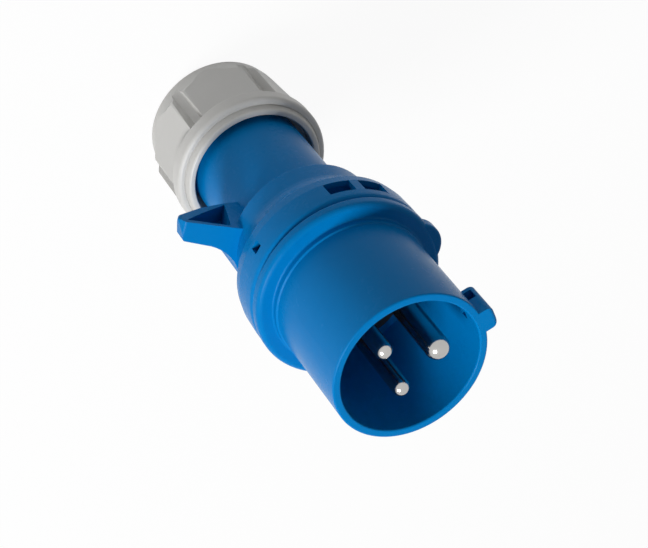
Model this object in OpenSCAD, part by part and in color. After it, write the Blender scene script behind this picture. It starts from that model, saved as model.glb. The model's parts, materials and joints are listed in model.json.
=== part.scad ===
// Pin and sleeve plug, two poles and earth, with a twist closure and a screwed cable gland.
// The plug stands on its gland nut: Z runs up the axis from the nut's rear face to the mouth.
// The origin is on the axis at that face, and +X points along the handle's ear.

/* [Sleeve] */
// Outer diameter of the sleeve that enters the socket
sleeve_d = 45; // [44:0.1:46]
// Length of the sleeve, from the collar's face to the mouth
sleeve_l = 37; // [34:0.5:40]
// Wall of the sleeve
sleeve_wall = 2.3; // [1.8:0.1:2.6]
// Diameter of the collar behind the sleeve
collar_d = 55; // [54:0.1:57]
// Thickness of the collar
collar_t = 3.7; // [3.6:0.1:5]
// Turn of the keyway from the ear, about the axis, when the closure stands open
key_angle = -142.5; // [-145:0.5:-140]
// Width of the keyway ridge
key_w = 7; // [6.6:0.1:7.6]
// Height of the keyway ridge above the sleeve
key_h = 3.5; // [3.2:0.1:4.4]
// Length of the keyway ridge along the sleeve
key_l = 10.7; // [10:0.1:12]

/* [Contacts] */
// Radius of the circle that the contact pins stand on
pin_circle_r = 8.6; // [8.4:0.1:8.8]
// Diameter of the line and neutral pins
pole_d = 5; // [4.8:0.1:5.2]
// Diameter of the earth pin
earth_d = 7; // [6.8:0.1:7.2]
// Depth of the line and neutral tips' round centres below the mouth
pole_recess = 3.3; // [3:0.1:6]
// Depth of the earth tip's round centre below the mouth
earth_recess = 1.5; // [1:0.1:4]
// Diameter of the terminal barrel behind a pin
barrel_d = 8.6; // [8.4:0.1:8.8]
// Diameter of the terminal screws
clamp_screw_d = 3.9; // [3.5:0.1:4]

/* [Handle] */
// Diameter of the neck
neck_d = 34.8; // [34:0.1:35.4]
// Length of neck between the gland nut and the shoulder
neck_l = 33; // [30:0.5:40]
// Wall of the neck
neck_wall = 2.6; // [2.2:0.1:3]
// Length from the shoulder's rear edge to the handle's front face
shoulder_l = 27.8; // [27.4:0.1:32]
// Length of the wide band at the handle's front
band_l = 11.8; // [11.2:0.1:12.6]
// Reach of the ear from the axis
ear_reach = 39.3; // [37:0.1:41]
// Width of the ear
ear_w = 6.4; // [6:0.1:7]
// Angle that one window of a pair spans
window_span = 16; // [14:0.5:18]
// Bar between the two windows of a pair, as an angle
window_bar = 6; // [4:0.5:7]
// Height of the windows along the axis
window_h = 5.2; // [4.8:0.1:5.6]
// Turn of the window pairs from square with the ear
window_turn = 2.5; // [0:0.5:4]

/* [Closure] */
// Turn that locks the sleeve to the handle
closure_turn = 37.5; // [35:0.5:40]
// Radial clearance of the sleeve's spigot in the handle
closure_fit = 0.08; // [0.05:0.01:0.1]
// Gap between the collar and the handle's front face
shell_gap = 0.5; // [0.3:0.05:0.5]

/* [Cable gland] */
// Length of the gland nut
nut_l = 31; // [30:0.5:33]
// Diameter over the nut's front band
nut_d = 47; // [46.6:0.1:48]
// Number of grip flats round the nut
nut_flats = 6; // [5:1:6]
// Turn of the first grip groove from the ear
nut_phase = 28; // [0:1:60]
// Radial clearance of the nut on the neck's thread
thread_fit = 0.08; // [0.05:0.01:0.1]
// Radius of the cable's way through the nut
cable_way_r = 8.5; // [8:0.1:9]
// Bore radius of the rubber cable seal
cable_r = 4.75; // [4:0.05:5.5]
// Number of clamping fingers
finger_n = 8; // [6:1:10]

/* [Hidden] */
$fn = 96;

// Colours
shell_blue = [0.00, 0.40, 0.72];
nut_grey = [0.80, 0.80, 0.78];
carrier_grey = [0.16, 0.17, 0.19];
nickel = [0.80, 0.80, 0.80];
steel = [0.62, 0.63, 0.65];
rubber_black = [0.06, 0.06, 0.07];
collet_white = [0.86, 0.86, 0.83];

// Radial sizes, from the axis outwards
sleeve_r = sleeve_d / 2;
sleeve_ri = sleeve_r - sleeve_wall;
collar_r = collar_d / 2;
lip_r = sleeve_ri - 2.6;
seat_r = sleeve_ri - 0.2;
carrier_r = seat_r - 1.5;
cavity_r = carrier_r + 0.7;
shoulder_r = cavity_r + 2.6;
spigot_r = sleeve_r - 0.2;
socket_r = spigot_r + closure_fit;
track_r = collar_r - 1.9;
neck_r = neck_d / 2;
neck_ri = neck_r - neck_wall;
gland_seat_r = neck_r - 1.8;
nut_r = nut_d / 2;
nut_bore_r = neck_r + thread_fit;
skirt_r = neck_r + 1.6;
flat_r = nut_r - 2.1;
nut_floor = 3;
finger_r = neck_ri - 4.5;
finger_t = 3.9;
cone_end = 8.2;

// Heights, stacked up from the nut's rear face
z_shoulder = nut_l + neck_l;
z_joint = z_shoulder + shoulder_l;
z_collar = z_joint + shell_gap;
z_root = z_collar + collar_t;
z_mouth = z_root + sleeve_l;
z_band = z_joint - band_l;
z_lip = z_root;
lip_t = 3;
gasket_t = 0.8;
z_flange = z_lip - lip_t - gasket_t;
flange_t = 6.2;
z_carrier = z_flange - flange_t;
carrier_l = 15.5;
z_cover = z_carrier - carrier_l;
cover_t = 2.8;
z_spigot = z_collar - 12.5;
z_floor = z_spigot - 0.5;
z_cavity = z_cover - cover_t - 0.7;
z_track = z_joint - 9.7;
track_h = 7;
neck_end = 7;
z_seal_stop = neck_end + 13;
z_seal_flange = z_seal_stop - 2.4;
z_face = z_root + 1;
seal_section = 0.6;

// Contacts
barrel_r = barrel_d / 2;
barrel_l = 13.5;
z_barrel = z_cover + 0.5;
wire_r = 2.3;
z_clamp = z_barrel + 4.5;
pin_fit = 0.05;
shank_step = 0.5;
undercut = 0.3;
screw_r = clamp_screw_d / 2;
screw_l = 6;
leaf_t = 0.4;
leaf_w = 2.6;
leaf_l = 8.5;
leaf_top = 1.7;
POLES = [0, 120, -120];

// Cover screws, either side of the earth pin
cover_screw_r = 1.5;
cover_head_r = 2.6;
cover_head_t = 1.6;
cover_screw_l = 9;
cover_screw_at = 13;

// Bayonet lugs, in the position where they can be drawn out of the handle
lug_n = 3;
lug_phase = 60;
lug_w = 6;
lug_h = 6.4;
lug_out = track_r - spigot_r - 0.3;
nib_angle = -15.5 + closure_turn;
nib_w = 2.2;
nib_z = z_track + 2.3;

// Points of an arc in a profile, from angle a0 to a1
function arc(x, y, r, a0, a1, n = 6) =
    [for (i = [0:n]) let (a = a0 + (a1 - a0) * i / n) [x + r * cos(a), y + r * sin(a)]];

// Turns a profile given as [radius, height] points about the axis
module turned(points) {
    rotate_extrude() polygon(points);
}

// A plain ring between two radii
module ring(r_in, r_out, z0, h) {
    difference() {
        translate([0, 0, z0]) cylinder(r = r_out, h = h);
        translate([0, 0, z0 - 1]) cylinder(r = r_in, h = h + 2);
    }
}

// A cylinder whose axis lies along +X at height z, from x0 to x1
module spoke(x0, x1, r, z) {
    translate([x0, 0, z]) rotate([0, 90, 0]) cylinder(r = r, h = x1 - x0);
}

// Turns what follows to the keyway's direction, plus an angle
module at_key(angle = 0) {
    rotate([0, 0, key_angle + angle]) children();
}

// ---- Sleeve half ----

// Shroud, collar and spigot as one turned profile
module sleeve_shell() {
    rim = 0.5;
    edge = 1.6;
    back = 0.6;
    foot = 0.6;
    ring_r = sleeve_r + 0.45;
    ring_l = 2;
    groove_r = spigot_r - 2 * seal_section;
    turned(concat(
        [[seat_r, z_spigot], [spigot_r, z_spigot], [spigot_r, z_spigot + 0.4],
            [groove_r, z_spigot + 0.4], [groove_r, z_spigot + 0.6 + 2 * seal_section],
            [spigot_r, z_spigot + 0.6 + 2 * seal_section], [spigot_r, z_collar]],
        arc(collar_r - back, z_collar + back, back, -90, 0, 4),
        arc(collar_r - edge, z_root - edge, edge, 0, 90),
        arc(ring_r + foot, z_root + foot, foot, 270, 180, 4),
        arc(ring_r - 0.3, z_root + ring_l - 0.3, 0.3, 0, 60, 3),
        [[sleeve_r, z_root + ring_l + 0.2]],
        arc(sleeve_r - rim, z_mouth - rim, rim, 0, 90, 4),
        arc(sleeve_ri + rim, z_mouth - rim, rim, 90, 180, 4),
        [[sleeve_ri, z_lip], [lip_r, z_lip], [lip_r, z_lip - lip_t], [seat_r, z_lip - lip_t]]));
}

// Rounded lug on the collar, in line with the keyway
module collar_lug() {
    lug_r = 8;
    edge = 0.8;
    difference() {
        translate([sleeve_r - 1.2, 0, 0])
            turned(concat([[0, z_collar + 0.15], [lug_r, z_collar + 0.15]],
                arc(lug_r - edge, z_root - 0.15 - edge, edge, 0, 90, 4), [[0, z_root - 0.15]]));
        translate([0, 0, z_collar - 1]) cylinder(r = sleeve_ri + 1, h = collar_t + 2);
    }
}

// Keyway ridge: a round-cornered bar on the outside of the sleeve, flush with the rim
module key_ridge() {
    corner = 2;
    nose = 1.2;
    top_r = sleeve_r + key_h;
    base_r = sleeve_ri + 1;
    intersection() {
        translate([0, 0, z_mouth - key_l]) {
            translate([base_r, -key_w / 2, 0]) cube([top_r - corner - base_r, key_w, key_l]);
            translate([base_r, corner - key_w / 2, 0])
                cube([top_r - base_r, key_w - 2 * corner, key_l]);
            for (side = [-1, 1])
                translate([top_r - corner, side * (key_w / 2 - corner), 0])
                    cylinder(r = corner, h = key_l);
        }
        // Rounds the bar's outer edge at the mouth
        turned(concat([[0, z_mouth - key_l - 1], [top_r + 0.2, z_mouth - key_l - 1]],
            arc(top_r + 0.2 - nose, z_mouth - nose, nose, 0, 90, 5),
            [[top_r - nose, z_mouth + 1], [0, z_mouth + 1]]));
    }
}

// Pocket under the ridge's rear, open to one side, with a hole on through the sleeve's wall
module key_pocket() {
    roof = 1.4;
    cheek = 1.3;
    pocket_z = z_mouth - key_l + 1.2;
    pocket_l = 3.2;
    translate([sleeve_r - 0.3, cheek - key_w / 2, pocket_z])
        cube([key_h + 0.3 - roof, key_w, pocket_l]);
    translate([sleeve_ri - 1, cheek - key_w / 2, pocket_z + 0.2])
        cube([sleeve_wall + 1, key_w / 2 - cheek, pocket_l - 0.4]);
}

module front_sleeve() color(shell_blue) {
    difference() {
        union() {
            sleeve_shell();
            at_key() collar_lug();
            at_key() key_ridge();
            for (i = [0:lug_n - 1])
                rotate([0, 0, lug_phase + i * 360 / lug_n])
                    translate([spigot_r - 0.6, -lug_w / 2, z_track + 0.3])
                        cube([0.6 + lug_out, lug_w, lug_h]);
            rotate([0, 0, nib_angle])
                translate([spigot_r - 0.6, -nib_w / 2, nib_z])
                    cube([0.6 + lug_out, nib_w, nib_w]);
        }
        at_key() key_pocket();
        ring(seat_r - 1, seat_r + 0.9, z_carrier - 1.6, 1.5);
    }
}

module carrier_gasket() color(rubber_black)
    ring(lip_r + 0.1, seat_r - 0.1, z_flange, gasket_t);

module contact_carrier() color(carrier_grey) {
    difference() {
        turned([[0, z_cover], [carrier_r, z_cover], [carrier_r, z_carrier],
            [seat_r - 0.1, z_carrier], [seat_r - 0.1, z_flange], [lip_r - 0.1, z_flange],
            [lip_r - 0.1, z_face - 0.5], [lip_r - 0.6, z_face], [0, z_face]]);
        for (pole = POLES)
            at_key(pole) {
                pin_r = pole == 0 ? earth_d / 2 : pole_d / 2;
                translate([pin_circle_r, 0, z_cover - 1]) {
                    cylinder(r = pin_r + shank_step + pin_fit, h = z_face - z_cover + 3);
                    cylinder(r = barrel_r + pin_fit, h = barrel_l + 1.5);
                }
                translate([pin_circle_r, -screw_r - 0.3, z_cover - 1])
                    cube([carrier_r, 2 * screw_r + 0.6, z_clamp + screw_r + 0.3 - z_cover + 1]);
            }
        for (side = [-60, 60])
            at_key(side) translate([cover_screw_at, 0, z_cover - 1])
                cylinder(r = cover_screw_r, h = cover_screw_l - cover_t + 1);
    }
}

module carrier_cover() color(carrier_grey) {
    z0 = z_cover - cover_t;
    difference() {
        turned([[0, z0], [carrier_r - 0.9, z0], [carrier_r - 0.3, z0 + 0.6],
            [carrier_r - 0.3, z_cover - 0.02], [0, z_cover - 0.02]]);
        for (pole = POLES)
            at_key(pole) translate([pin_circle_r, 0, z0]) {
                translate([0, 0, -1]) cylinder(r = wire_r + 0.5, h = cover_t + 2);
                translate([0, 0, -0.01]) cylinder(r1 = wire_r + 1.5, r2 = wire_r + 0.5, h = 1);
            }
        for (side = [-60, 60])
            at_key(side) translate([cover_screw_at, 0, z0 - 1]) {
                cylinder(r = cover_screw_r + 0.1, h = cover_t + 2);
                cylinder(r = cover_head_r + 0.1, h = cover_head_t + 1);
            }
    }
}

module cover_screws() color(steel) {
    z0 = z_cover - cover_t;
    for (side = [-60, 60])
        at_key(side) translate([cover_screw_at, 0, z0])
            difference() {
                union() {
                    cylinder(r = cover_head_r, h = cover_head_t - 0.02);
                    cylinder(r = cover_screw_r - 0.03, h = cover_screw_l);
                }
                for (turn = [0, 90])
                    rotate([0, 0, turn]) translate([-1.5, -0.4, -1]) cube([3, 0.8, 2]);
            }
}

// Split ring that holds the carrier's flange in the spigot
module retaining_ring() color(steel) {
    difference() {
        ring(carrier_r + 0.15, seat_r + 0.8, z_carrier - 1.5, 1.3);
        at_key(180) translate([0, -3, z_carrier - 3]) cube([sleeve_r, 6, 5]);
    }
}

// Contact pin: round-ended shaft with an undercut at its shoulder, and a barrel with a wire hole and a cross-bored thread
module contact_pin(pin_r, recess) {
    tip = z_mouth - recess;
    translate([pin_circle_r, 0, 0]) difference() {
        union() {
            translate([0, 0, z_barrel]) cylinder(r = barrel_r, h = barrel_l);
            translate([0, 0, z_barrel])
                cylinder(r = pin_r + shank_step, h = z_face + undercut - z_barrel);
            translate([0, 0, z_face]) cylinder(r = pin_r - undercut, h = 2);
            translate([0, 0, z_face + 0.8]) cylinder(r = pin_r, h = tip - z_face - 0.8);
            translate([0, 0, tip]) sphere(r = pin_r);
        }
        translate([0, 0, z_barrel - 1]) cylinder(r = wire_r, h = 12);
        spoke(0, barrel_r + 1, screw_r + pin_fit, z_clamp);
    }
}

module pin_earth() color(nickel) at_key(POLES[0]) contact_pin(earth_d / 2, earth_recess);
module pin_line() color(nickel) at_key(POLES[1]) contact_pin(pole_d / 2, pole_recess);
module pin_neutral() color(nickel) at_key(POLES[2]) contact_pin(pole_d / 2, pole_recess);

// Wire-protection leaf: a strip under the screw, with a tab bent over the barrel's end
module clamp_leaf() {
    translate([pin_circle_r + leaf_top - leaf_t, -leaf_w / 2, z_barrel - leaf_t])
        cube([leaf_t, leaf_w, leaf_l]);
    translate([pin_circle_r + leaf_top - leaf_t, -leaf_w / 2, z_barrel - leaf_t])
        cube([barrel_r - leaf_top, leaf_w, leaf_t - 0.03]);
}

module leaf_earth() color(steel) at_key(POLES[0]) clamp_leaf();
module leaf_line() color(steel) at_key(POLES[1]) clamp_leaf();
module leaf_neutral() color(steel) at_key(POLES[2]) clamp_leaf();

// Headless slotted screw, lying across the barrel
module clamp_screw() {
    x0 = pin_circle_r + leaf_top + 0.03;
    difference() {
        spoke(x0, x0 + screw_l, screw_r, z_clamp);
        translate([x0 + screw_l - 1.3, -0.4, z_clamp - 3]) cube([2, 0.8, 6]);
    }
}

module screw_earth() color(steel) at_key(POLES[0]) clamp_screw();
module screw_line() color(steel) at_key(POLES[1]) clamp_screw();
module screw_neutral() color(steel) at_key(POLES[2]) clamp_screw();

module closure_o_ring() color(rubber_black)
    translate([0, 0, z_spigot + 0.5 + seal_section])
        rotate_extrude() translate([spigot_r - seal_section, 0])
            circle(r = seal_section, $fn = 32);

// ---- Handle half ----

// Neck, shoulder, flare and wide band as one turned profile
module handle_shell() {
    edge = 0.9;
    flare = 12.6;
    lean = 49;
    back = 1;
    front = 1.6;
    band_r = collar_r - 0.1;
    flare_r = shoulder_r + 0.2;
    back_r = flare_r + flare - (flare + back) * cos(lean);
    turned(concat(
        [[gland_seat_r, neck_end], [neck_r - 0.6, neck_end], [neck_r, neck_end + 0.6],
            [neck_r, z_shoulder - 1]],
        arc(neck_r + 1, z_shoulder - 1, 1, 180, 90, 4),
        arc(shoulder_r - edge, z_shoulder + edge, edge, -90, 0),
        arc(flare_r + flare, z_band - (flare + back) * sin(lean), flare, 180, 180 - lean, 8),
        arc(back_r, z_band, back, -38, -14, 3),
        [[band_r - 0.2, z_band + 2.8], [band_r, z_joint - 4]],
        arc(band_r - front, z_joint - front, front, 0, 90, 5),
        [[socket_r, z_joint], [socket_r, z_track + track_h], [track_r, z_track + track_h],
            [track_r, z_track], [socket_r, z_track], [socket_r, z_floor],
            [cavity_r, z_floor], [cavity_r, z_cavity], [neck_ri, z_cavity - 2.2],
            [neck_ri, z_seal_stop + 2], [neck_ri - 2.6, z_seal_stop + 2],
            [neck_ri - 2.6, z_seal_stop], [gland_seat_r, z_seal_stop]]));
}

// Side outline of the ear, as [reach, height] from the shoulder's rear edge
ear_front = [[shoulder_r - 3, 5.3], [shoulder_r + 2, 4.6]];
ear_tip = concat(arc(ear_reach - 2.1, 0.66, 1.2, 78.5, 20, 4),
    arc(ear_reach - 1.24, -1.1, 1, 15, -63, 4));
ear_back = [[ear_reach - 8.9, -6.1], [shoulder_r, -8.9], [neck_r - 1, -10]];

// Ear: a wedge with a flared far side and a deep pocket in its near side
module ear() {
    half = ear_w / 2;
    wall = 1.2;
    flare = 12.5;
    corner = 0.8;
    difference() {
        intersection() {
            translate([0, half + 8, z_shoulder]) rotate([90, 0, 0])
                linear_extrude(height = ear_w + 8)
                    polygon(concat(ear_front, ear_tip, ear_back,
                        [[neck_r - 1, 0], [shoulder_r - 3, 2]]));
            translate([0, 0, z_shoulder - 20]) linear_extrude(height = 40)
                polygon(concat([[neck_r - 3, -half]],
                    arc(ear_reach - 1.1, corner - half, corner, -90, 17, 4),
                    arc(ear_reach - 2.5, half - 1.16, corner, 18, 85, 4),
                    arc(ear_reach - 8.3, half + flare + 0.1, flare, 270, 197, 9),
                    [[neck_r - 3, half + flare * 0.72]]));
        }
        translate([0, half - wall, z_shoulder]) rotate([90, 0, 0])
            linear_extrude(height = ear_w)
                polygon([[shoulder_r + 3, 3.3], [ear_reach - 2.3, 0.4],
                    [ear_reach - 8.9, -3.6], [shoulder_r + 0.2, -8.1]]);
    }
}

// One pair of windows through the band's wall
module window_pair() {
    half = window_span / 2;
    for (side = [-1, 1])
        rotate([0, 0, side * (window_bar / 2 + half)])
            translate([socket_r + 0.5, -collar_r * tan(half), z_track + 0.9])
                cube([collar_r, 2 * collar_r * tan(half), window_h]);
}

module rear_housing() color(shell_blue) {
    difference() {
        union() {
            handle_shell();
            ear();
        }
        for (turn = [-90, 90])
            rotate([0, 0, turn + window_turn]) window_pair();
        // Way in for each bayonet lug
        for (i = [0:lug_n - 1])
            rotate([0, 0, lug_phase + i * 360 / lug_n])
                translate([socket_r - 2, -lug_w / 2 - 0.5, z_track + 1])
                    cube([track_r - socket_r + 2, lug_w + 1, band_l]);
        // Hole that the latch nib springs into
        rotate([0, 0, nib_angle - closure_turn])
            translate([socket_r - 1, -nib_w / 2 - 0.3, nib_z - 0.4])
                cube([6, nib_w + 0.6, nib_w + 0.8]);
    }
}

// ---- Cable gland ----

module cable_seal() color(rubber_black) {
    body_r = finger_r - 0.1;
    rear = 5;
    turned([[cable_r, rear], [body_r - 0.8, rear], [body_r, rear + 0.8], [body_r, z_seal_flange],
        [gland_seat_r - 0.1, z_seal_flange], [gland_seat_r - 0.1, z_seal_stop - 0.02],
        [cable_r + 1, z_seal_stop - 0.02], [cable_r, z_seal_stop - 1]]);
}

// Ring of clamping fingers round the seal
module clamp_collet() color(collet_white) {
    rear = 4.2;
    slot_w = 1.4;
    difference() {
        turned([[finger_r, rear], [finger_r + 1.3, rear], [finger_r + finger_t, cone_end - 0.2],
            [finger_r + finger_t, neck_end + 4], [gland_seat_r - 0.1, neck_end + 4.8],
            [gland_seat_r - 0.1, z_seal_flange - 0.05], [finger_r, z_seal_flange - 0.05]]);
        for (i = [0:finger_n - 1])
            rotate([0, 0, i * 360 / finger_n]) translate([finger_r - 1, -slot_w / 2, 0])
                cube([neck_r, slot_w, neck_end + 3.3]);
    }
}

// Cone that closes the fingers; it slides with the nut and doesn't turn
module pressure_ring() color(nut_grey) {
    rear = nut_floor + 0.02;
    turned([[finger_r + 0.8, rear], [gland_seat_r - 0.2, rear], [gland_seat_r - 0.2, cone_end],
        [finger_r + finger_t + 0.5, cone_end]]);
}

// Outline of the nut before its grip is cut
module nut_shell() {
    grip_end = nut_l - 7;
    turned(concat(
        [[cable_way_r, 0]],
        arc(nut_r - 3.7, 1.2, 1.2, -90, 0, 4),
        [[nut_r - 1.5, 6.5], [nut_r - 0.3, 8.8], [nut_r - 0.2, grip_end], [nut_r, grip_end + 0.4]],
        arc(nut_r - 1.3, nut_l - 3.4, 1.3, 0, 90),
        [[nut_r - 1.8, nut_l - 2.1], [nut_r - 2.1, nut_l - 2.3]],
        arc(nut_r - 3.4, nut_l - 0.9, 0.9, 0, 90, 5),
        arc(skirt_r + 0.5, nut_l - 0.5, 0.5, 90, 180, 4),
        [[skirt_r, nut_l - 5], [nut_bore_r, nut_l - 6.5], [nut_bore_r, 6.5],
            [gland_seat_r + 0.6, 6.5], [gland_seat_r + 0.6, nut_floor], [cable_way_r, nut_floor]]));
}

// One grip flat, and the groove at its edge, which runs out on the rear cone
module nut_grip() {
    grip_end = nut_l - 7;
    step = 180 / nut_flats;
    floor_r = nut_r - 3;
    rotate([0, 0, step]) translate([flat_r, -nut_r, -1])
        cube([nut_r, 2 * nut_r, grip_end + 0.8]);
    translate([floor_r, 0, grip_end + 0.2]) rotate([0, 177.4, 0])
        linear_extrude(height = grip_end + 2)
            polygon([[0, -1.3], [-3.4, -3], [-3.4, 3], [0, 1.3]]);
}

module gland_nut() color(nut_grey) {
    difference() {
        nut_shell();
        for (i = [0:nut_flats - 1])
            rotate([0, 0, nut_phase + i * 360 / nut_flats]) nut_grip();
    }
}

front_sleeve();
carrier_gasket();
contact_carrier();
carrier_cover();
cover_screws();
retaining_ring();
pin_earth();
pin_line();
pin_neutral();
leaf_earth();
leaf_line();
leaf_neutral();
screw_earth();
screw_line();
screw_neutral();
closure_o_ring();
rear_housing();
cable_seal();
clamp_collet();
pressure_ring();
gland_nut();
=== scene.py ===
# %% [markdown]
# # An industrial pin and sleeve plug
#
# The plug comes from a CAD model that is already exact: every moulding, pin and screw is a node of
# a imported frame. Blender's work here is the finish, the light and the view. The frame is loaded
# first, because every later step takes its places from it and none is typed in twice.

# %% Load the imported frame
import json
import math
import bpy
from mathutils import Matrix, Vector

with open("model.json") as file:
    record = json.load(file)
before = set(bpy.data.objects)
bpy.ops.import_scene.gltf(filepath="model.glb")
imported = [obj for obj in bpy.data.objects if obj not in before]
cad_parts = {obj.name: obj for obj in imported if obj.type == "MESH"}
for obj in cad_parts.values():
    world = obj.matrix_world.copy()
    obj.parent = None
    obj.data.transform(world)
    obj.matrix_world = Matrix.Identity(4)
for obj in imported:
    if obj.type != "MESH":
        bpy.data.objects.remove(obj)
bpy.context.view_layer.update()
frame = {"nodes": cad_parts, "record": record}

nodes = frame["nodes"]

# %% [markdown]
# ## The view
#
# A long lens a good half metre away keeps the sleeve's mouth nearly round while the nut still
# shrinks a little with distance. The plug lies aslant in the picture although it stands upright on
# its nut in the frame, so the camera is rolled rather than the plug turned. A camera looks along
# its own -Z with +Y up, so three columns, right, up and back, are all that its turn needs.

# %% Place the camera
scene = bpy.context.scene
lens_at = Vector((0.3012, -0.2772, 0.5321))
look = Vector((-0.4930, 0.4600, -0.7380)).normalized()
up = Vector((0.0, -0.8490, -0.5285))
up = (up - look * up.dot(look)).normalized()
right = look.cross(up)

camera_data = bpy.data.cameras.new("product_camera")
camera_data.sensor_width = 36.0
camera_data.lens = 122.2
camera_data.clip_start = 0.05
camera_data.clip_end = 20.0
camera = bpy.data.objects.new("product_camera", camera_data)
scene.collection.objects.link(camera)
turn = Matrix((right, up, -look)).transposed()
camera.matrix_world = Matrix.Translation(lens_at) @ turn.to_4x4()
scene.camera = camera
print("camera to the axis:", round(lens_at.length, 3), "m")

# %% [markdown]
# ## A little arithmetic for shaders
#
# Surface patterns are sums and products of noise, and wiring a Math node for each plus sign hides
# the idea. A small class wraps a socket, so that an ordinary expression adds the nodes. One method
# makes every other kind of node.

# %% Socket arithmetic
class Value:
    """A number that varies over a surface."""

    def __init__(self, finish, socket):
        self.finish = finish
        self.socket = socket

    def _math(self, operation, a, b):
        return self.finish.node("ShaderNodeMath", {"operation": operation}, {0: a, 1: b})

    def __add__(self, other):
        return self._math("ADD", self, other)

    def __sub__(self, other):
        return self._math("SUBTRACT", self, other)

    def __rsub__(self, other):
        return self._math("SUBTRACT", other, self)

    def __mul__(self, other):
        return self._math("MULTIPLY", self, other)

    __radd__ = __add__
    __rmul__ = __mul__


class Finish:
    """A material whose nodes are added by expressions."""

    def __init__(self, name):
        self.material = bpy.data.materials.new(name)
        self.material.use_nodes = True
        self.tree = self.material.node_tree
        self.shader = self.tree.nodes["Principled BSDF"]

    def node(self, kind, settings=None, inputs=None, output=0):
        made = self.tree.nodes.new(kind)
        for key, value in (settings or {}).items():
            if key == "stops":
                ramp = made.color_ramp
                while len(ramp.elements) < len(value):
                    ramp.elements.new(0.5)
                for element, (place, colour) in zip(ramp.elements, value):
                    element.position = place
                    element.color = colour
            else:
                setattr(made, key, value)
        for key, value in (inputs or {}).items():
            if isinstance(value, Value):
                self.tree.links.new(value.socket, made.inputs[key])
            else:
                made.inputs[key].default_value = value
        return Value(self, made.outputs[output])

    def place(self):
        return self.node("ShaderNodeTexCoord", output="Object")

    def noise(self, scale, detail=2.0, roughness=0.5, stretch=None):
        where = self.place()
        if stretch:
            where = self.node("ShaderNodeMapping", None, {"Vector": where, "Scale": stretch})
        return self.node("ShaderNodeTexNoise", None,
                         {"Vector": where, "Scale": scale, "Detail": detail, "Roughness": roughness})

    def blend(self, factor, first, second):
        return self.node("ShaderNodeMix", {"data_type": "RGBA"},
                         {0: factor, 6: first, 7: second}, output=2)

    def bump(self, height, distance, strength=1.0):
        return self.node("ShaderNodeBump", None,
                         {"Height": height, "Distance": distance, "Strength": strength})

    def feed(self, **sockets):
        for key, value in sockets.items():
            socket = self.shader.inputs[key.replace("_", " ")]
            if isinstance(value, Value):
                self.tree.links.new(value.socket, socket)
            else:
                socket.default_value = value


print("shader helpers ready")

# %% [markdown]
# ## Blue moulded plastic
#
# The sleeve and the handle are injection moulded in tough glass-filled plastic. Up close such a
# surface isn't smooth: the steel mould was spark eroded, which leaves a fine grain, and glass
# fibres near the skin make the gloss slightly uneven. The grain is a bump with a height of a few
# microns, the unevenness is a slow noise that feeds Roughness, and the colour drifts by a few per
# cent where the melt flowed along the part.

# %% Blue plastic
def moulded_plastic(name, deep, pale, rough, grain_height, clear=0.5):
    finish = Finish(name)
    flow = finish.noise(38.0, 3.0, 0.55, stretch=(1.0, 1.0, 0.35))
    cloud = finish.noise(420.0, 2.0, 0.6)
    grain = finish.noise(5200.0, 2.0, 0.6)
    tone = flow * 0.7 + cloud * 0.3
    finish.feed(
        Base_Color=finish.blend(tone, deep, pale),
        Roughness=tone * 0.16 + (rough - 0.08),
        Normal=finish.bump(grain, grain_height),
    )
    finish.feed(Specular_IOR_Level=clear)
    return finish.material


blue_plastic = moulded_plastic("moulded_blue", (0.0, 0.155, 0.440, 1), (0.0, 0.200, 0.530, 1),
                               0.27, 0.00003, 0.05)
print("finish:", blue_plastic.name)

# %% [markdown]
# ## Light grey nut
#
# The gland nut is a softer, paler plastic. Its grip faces are touched more than anything else, so
# the grey is a touch darker and smoother in slow patches.

# %% Grey plastic, nylon and the dark insert
grey_plastic = moulded_plastic("moulded_grey", (0.520, 0.515, 0.498, 1), (0.600, 0.594, 0.572, 1),
                               0.42, 0.00003)
natural_nylon = moulded_plastic("natural_nylon", (0.700, 0.690, 0.640, 1), (0.780, 0.770, 0.730, 1),
                                0.40, 0.00002)
insert_plastic = moulded_plastic("insert_dark", (0.018, 0.019, 0.022, 1), (0.030, 0.032, 0.037, 1),
                                 0.45, 0.00003)
print("plastics:", grey_plastic.name, natural_nylon.name, insert_plastic.name)

# %% [markdown]
# ## Nickel on turned brass
#
# The contact pins are turned from brass bar and nickel plated. The tool leaves rings round the
# axis, far finer than the eye separates, which stretch each highlight a little. A noise squeezed
# along Z gives rings of uneven depth; a wave would look too regular.

# %% Metals
def turned_metal(name, dark, bright, rough, ring_height):
    finish = Finish(name)
    rings = finish.noise(900.0, 3.0, 0.6, stretch=(0.02, 0.02, 4.0))
    smudge = finish.noise(140.0, 3.0, 0.6)
    finish.feed(
        Base_Color=finish.blend(smudge, dark, bright),
        Metallic=1.0,
        Roughness=smudge * 0.10 + rings * 0.06 + (rough - 0.08),
        Normal=finish.bump(rings, ring_height),
    )
    return finish.material


nickel_plate = turned_metal("nickel_plate", (0.40, 0.39, 0.38, 1), (0.54, 0.53, 0.51, 1),
                            0.17, 0.000004)
zinc_steel = turned_metal("zinc_steel", (0.46, 0.47, 0.50, 1), (0.60, 0.61, 0.64, 1),
                          0.34, 0.000004)
print("metals:", nickel_plate.name, zinc_steel.name)

# %% [markdown]
# ## Rubber
#
# The seals are soft black rubber: nearly no gloss, a faint bloom that lifts the black in patches.

# %% Rubber
def soft_rubber(name):
    finish = Finish(name)
    bloom = finish.noise(260.0, 4.0, 0.65)
    finish.feed(
        Base_Color=finish.blend(bloom, (0.012, 0.012, 0.013, 1), (0.040, 0.040, 0.041, 1)),
        Roughness=bloom * 0.2 + 0.6,
        Normal=finish.bump(finish.noise(2600.0), 0.00002),
    )
    return finish.material


black_rubber = soft_rubber("black_rubber")
print("finish:", black_rubber.name)

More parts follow.
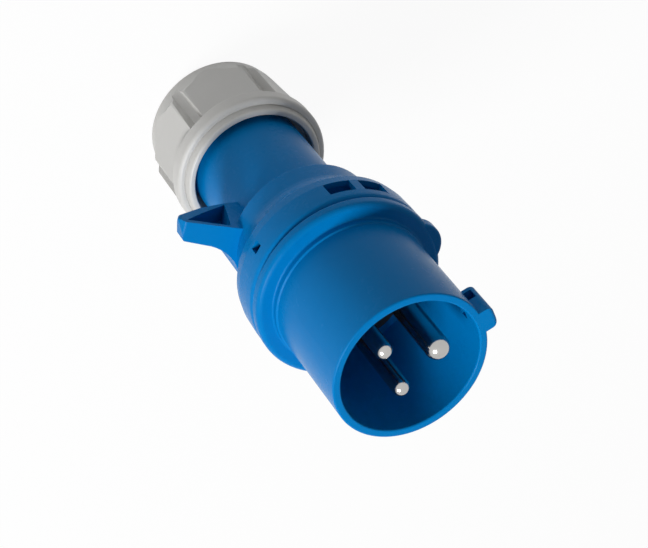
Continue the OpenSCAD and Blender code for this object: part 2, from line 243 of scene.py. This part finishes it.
# %% [markdown]
# ## Dress the nodes
#
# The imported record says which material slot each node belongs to, so the finishes are handed out
# from it instead of from a second list that could fall out of step.

# %% Give every node its finish
finishes = {
    "blue_plastic": blue_plastic,
    "grey_plastic": grey_plastic,
    "insert_plastic": insert_plastic,
    "natural_nylon": natural_nylon,
    "nickel_plate": nickel_plate,
    "zinc_steel": zinc_steel,
    "black_rubber": black_rubber,
}
for part in frame["record"]["subparts"]:
    piece = nodes[part["node"]]
    piece.data.materials.clear()
    piece.data.materials.append(finishes[part["material_slot"]])

# %% [markdown]
# ## Floor and light
#
# A product shot on white needs a floor that reads as white paper and still takes a shadow. The
# floor is plain diffuse for every ray except the camera's, which mostly sees an even white. The
# lamps are placed in the camera's own directions, because that is how a photographer sets them.

# %% Floor and world
bpy.ops.object.select_all(action="DESELECT")
bpy.ops.mesh.primitive_plane_add(size=8.0, location=(0.0, 0.0, 0.0))
floor = bpy.context.active_object
floor.name = "floor"
paper = Finish("white_paper")
seen = (paper.node("ShaderNodeLightPath", output="Is Camera Ray")
        + paper.node("ShaderNodeLightPath", output="Is Glossy Ray")
        + paper.node("ShaderNodeLightPath", output="Is Transmission Ray"))
white = paper.node("ShaderNodeEmission", None, {"Color": (1, 1, 1, 1), "Strength": 1.0})
paper.feed(Base_Color=(0.8, 0.8, 0.8, 1), Roughness=0.9)
dull = Value(paper, paper.shader.outputs[0])
sheet = paper.node("ShaderNodeMixShader", None, {0: seen * 0.94, 1: dull, 2: white})
paper.tree.links.new(sheet.socket, paper.tree.nodes["Material Output"].inputs["Surface"])
floor.data.materials.append(paper.material)

world = bpy.data.worlds.new("studio")
scene.world = world
world.use_nodes = True
sky = world.node_tree
path = sky.nodes.new("ShaderNodeLightPath")
room = sky.nodes["Background"]
room.inputs["Color"].default_value = (1, 1, 1, 1)
room.inputs["Strength"].default_value = 0.20
backdrop = sky.nodes.new("ShaderNodeBackground")
backdrop.inputs["Color"].default_value = (1, 1, 1, 1)
backdrop.inputs["Strength"].default_value = 1.0
pick = sky.nodes.new("ShaderNodeMixShader")
mirror = sky.nodes.new("ShaderNodeMath")
clear = sky.nodes.new("ShaderNodeMath")
sky.links.new(path.outputs["Is Camera Ray"], mirror.inputs[0])
sky.links.new(path.outputs["Is Glossy Ray"], mirror.inputs[1])
sky.links.new(mirror.outputs[0], clear.inputs[0])
sky.links.new(path.outputs["Is Transmission Ray"], clear.inputs[1])
sky.links.new(clear.outputs[0], pick.inputs[0])
sky.links.new(room.outputs[0], pick.inputs[1])
sky.links.new(backdrop.outputs[0], pick.inputs[2])
sky.links.new(pick.outputs[0], sky.nodes["World Output"].inputs["Surface"])
print("floor and world ready")

# %% Lamps
middle = Vector((0.0, 0.0, 0.075))


def softbox(name, across, upward, toward, distance, size, power):
    data = bpy.data.lights.new(name, "AREA")
    data.shape = "SQUARE"
    data.size = size
    data.energy = power
    lamp = bpy.data.objects.new(name, data)
    scene.collection.objects.link(lamp)
    way = (right * across + up * upward - look * toward).normalized()
    lamp.location = middle + way * distance
    lamp.rotation_mode = "QUATERNION"
    lamp.rotation_quaternion = (-way).to_track_quat("-Z", "Y")
    print(name, "at", [round(v, 2) for v in lamp.location])


softbox("front_softbox", -0.22, -0.70, 0.66, 0.9, 0.30, 8.4)
softbox("side_softbox", -0.95, -0.07, 0.10, 0.9, 0.16, 3.0)
softbox("top_softbox", 0.10, 0.95, 0.10, 1.0, 0.25, 0.7)

# %% [markdown]
# ## Colour view
#
# The colours are shown through the Standard view transform.

scene.view_settings.view_transform = "Standard"
